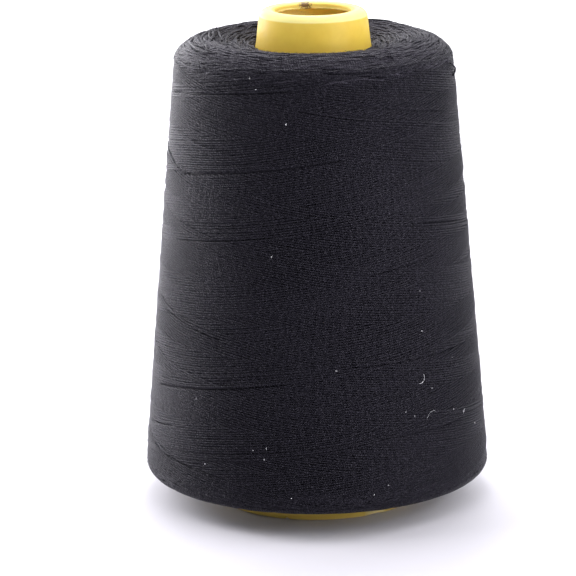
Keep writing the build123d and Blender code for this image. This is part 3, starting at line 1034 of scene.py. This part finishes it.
    # fine scuffs round the nose
    m = n.new("ShaderNodeMapping")
    m.inputs["Scale"].default_value = (1.0, 1.0, 9.0)
    n.link(co, m.inputs["Vector"])
    scuff = n.new("ShaderNodeTexNoise", Scale=260.0, Detail=5.0, Roughness=0.75)
    n.link(m.outputs["Vector"], scuff.inputs["Vector"])
    bump = n.new("ShaderNodeBump", Strength=0.35)
    bump.inputs["Distance"].default_value = 0.00012
    n.link(n.math("ADD", big.outputs["Fac"], n.math("MULTIPLY", scuff.outputs["Fac"], 0.5)), bump.inputs["Height"])
    n.link(bump.outputs["Normal"], b.inputs["Normal"])
    b.inputs["Subsurface Weight"].default_value = 0.15
    b.inputs["Subsurface Radius"].default_value = (1.0, 0.6, 0.15)
    b.inputs["Subsurface Scale"].default_value = 0.0015
    return n.mat


PLASTIC = plastic_material()
finish_piece(cone, PLASTIC)
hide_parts("cone_core")

# ---------------------------------------------------------------------------
# Stage, light and camera
# ---------------------------------------------------------------------------
def plane(name, size, z=0.0):
    me = bpy.data.meshes.new(name)
    s = size / 2
    me.from_pydata([(-s, -s, z), (s, -s, z), (s, s, z), (-s, s, z)], [], [(0, 1, 2, 3)])
    ob = bpy.data.objects.new(name, me)
    bpy.context.scene.collection.objects.link(ob)
    return ob


floor = plane("studio_floor", 60.0, -0.0002)
nf = Nodes("studio_floor")
nf.b.inputs["Base Color"].default_value = (0.855, 0.847, 0.89, 1)
nf.b.inputs["Roughness"].default_value = 0.6
nf.b.inputs["Specular IOR Level"].default_value = 0.2
# the sheet of paper runs out into an evenly lit surround
_co = nf.new("ShaderNodeTexCoord").outputs["Object"]
_far = nf.new("ShaderNodeVectorMath", operation="LENGTH")
nf.link(_co, _far.inputs[0])
_ring = nf.new("ShaderNodeMapRange", interpolation_type="SMOOTHSTEP")
for _k, _v in (("From Min", 0.38), ("From Max", 0.80), ("To Min", 0.0), ("To Max", 1.0)):
    _ring.inputs[_k].default_value = _v
nf.link(_far.outputs["Value"], _ring.inputs["Value"])
nf.b.inputs["Emission Color"].default_value = (1, 1, 1, 1)
nf.link(_ring.outputs["Result"], nf.b.inputs["Emission Strength"])
floor.data.materials.append(nf.mat)

world = bpy.data.worlds.new("studio")
bpy.context.scene.world = world
world.use_nodes = True
_w = world.node_tree
_bg = _w.nodes["Background"]
_bg.inputs["Color"].default_value = (0.97, 0.98, 1.0, 1)
_wc = _w.nodes.new("ShaderNodeTexCoord")
_ws = _w.nodes.new("ShaderNodeSeparateXYZ")
_wa = _w.nodes.new("ShaderNodeMath")
_wa.operation = "ABSOLUTE"
_wm = _w.nodes.new("ShaderNodeMapRange")
_wm.interpolation_type = "SMOOTHSTEP"
for _k, _v in (("From Min", 0.05), ("From Max", 0.13), ("To Min", 1.0), ("To Max", 0.04)):
    _wm.inputs[_k].default_value = _v
_w.links.new(_wc.outputs["Generated"], _ws.inputs["Vector"])
_w.links.new(_ws.outputs["Z"], _wa.inputs[0])
_w.links.new(_wa.outputs[0], _wm.inputs["Value"])
_wb = _w.nodes.new("ShaderNodeMapRange")
_wb.interpolation_type = "SMOOTHSTEP"
for _k, _v in (("From Min", 0.55), ("From Max", 0.80), ("To Min", 0.0), ("To Max", 1.0)):
    _wb.inputs[_k].default_value = _v
_w.links.new(_ws.outputs["Y"], _wb.inputs["Value"])
_wx = _w.nodes.new("ShaderNodeMath")
_wx.operation = "MAXIMUM"
_w.links.new(_wm.outputs["Result"], _wx.inputs[0])
_w.links.new(_wb.outputs["Result"], _wx.inputs[1])
_w.links.new(_wx.outputs[0], _bg.inputs["Strength"])


def area(name, loc, target, size, power, colour=(1, 1, 1), spread=180.0):
    li = bpy.data.lights.new(name, "AREA")
    li.shape = "RECTANGLE"
    li.size, li.size_y = size
    li.energy = power
    li.color = colour
    li.spread = math.radians(spread)
    ob = bpy.data.objects.new(name, li)
    bpy.context.scene.collection.objects.link(ob)
    ob.location = loc
    ob.rotation_mode = "QUATERNION"
    ob.rotation_quaternion = (Vector(target) - Vector(loc)).to_track_quat("-Z", "Y")
    return ob


LIGHTS = {
    "over_front": ((0, -0.32, 0.50), (0, 0, 0.08), (0.30, 0.30), 0.30),
    "front_high": ((0, -0.50, 0.65), (0, 0, 0.06), (0.40, 0.40), 0.84),
    "left_back": ((-0.40, 0.25, 0.12), (0, 0, 0.06), (0.25, 0.20), 1.50),
    "left_back_high": ((-0.22, 0.42, 0.15), (0, 0, 0.06), (0.25, 0.20), 0.95),
    "left_high": ((-0.40, 0, 0.40), (0, 0, 0.06), (0.30, 0.30), 1.58),
    "right_front": ((0.38, -0.28, 0.20), (0, 0, 0.06), (0.30, 0.30), 1.50),
    "right_high": ((0.40, 0, 0.40), (0, 0, 0.06), (0.30, 0.30), 1.18),
    "top_spot": ((0, 0.16, 0.34), (0, 0, 0.10), (0.08, 0.08), 0.018, 40.0),
    "backdrop": ((0, 0.62, 0.75), (0, 0.55, 0), (1.0, 0.8), 7.3),
}
for _n, (_l, _t, _s, _p, *_a) in LIGHTS.items():
    area(_n, _l, _t, _s, _p, (0.97, 0.955, 1.0), _a[0] if _a else 180.0)

PITCH, DIST, ROLL = math.radians(13.5), 0.7224, -0.0113
PX_PER_M = 4363.0
target = Vector((0, 0, 0.056))
back = Vector((0, -math.cos(PITCH), math.sin(PITCH)))
eye = target + back * DIST
cam_data = bpy.data.cameras.new("camera")
cam_data.sensor_width = 36.0
cam_data.lens = PX_PER_M * DIST / 576.0 * 36.0
cam = bpy.data.objects.new("camera", cam_data)
bpy.context.scene.collection.objects.link(cam)
right = Vector((1, 0, 0))
upv = Vector((0, math.sin(PITCH), math.cos(PITCH)))
# the frame's centre lies below and to the left of the target point
off_r, off_u = -27.56 / PX_PER_M, -33.02 / PX_PER_M
aim = target + right * off_r + upv * off_u
q = (aim - eye).to_track_quat("-Z", "Y")
cam.rotation_mode = "QUATERNION"
cam.location = eye
from mathutils import Quaternion
cam.rotation_quaternion = q @ Quaternion((0, 0, 1), ROLL)
cam_data.clip_start, cam_data.clip_end = 0.05, 100.0
cam_data.dof.use_dof = False
bpy.context.scene.camera = cam
bpy.context.scene.view_settings.view_transform = "Standard"
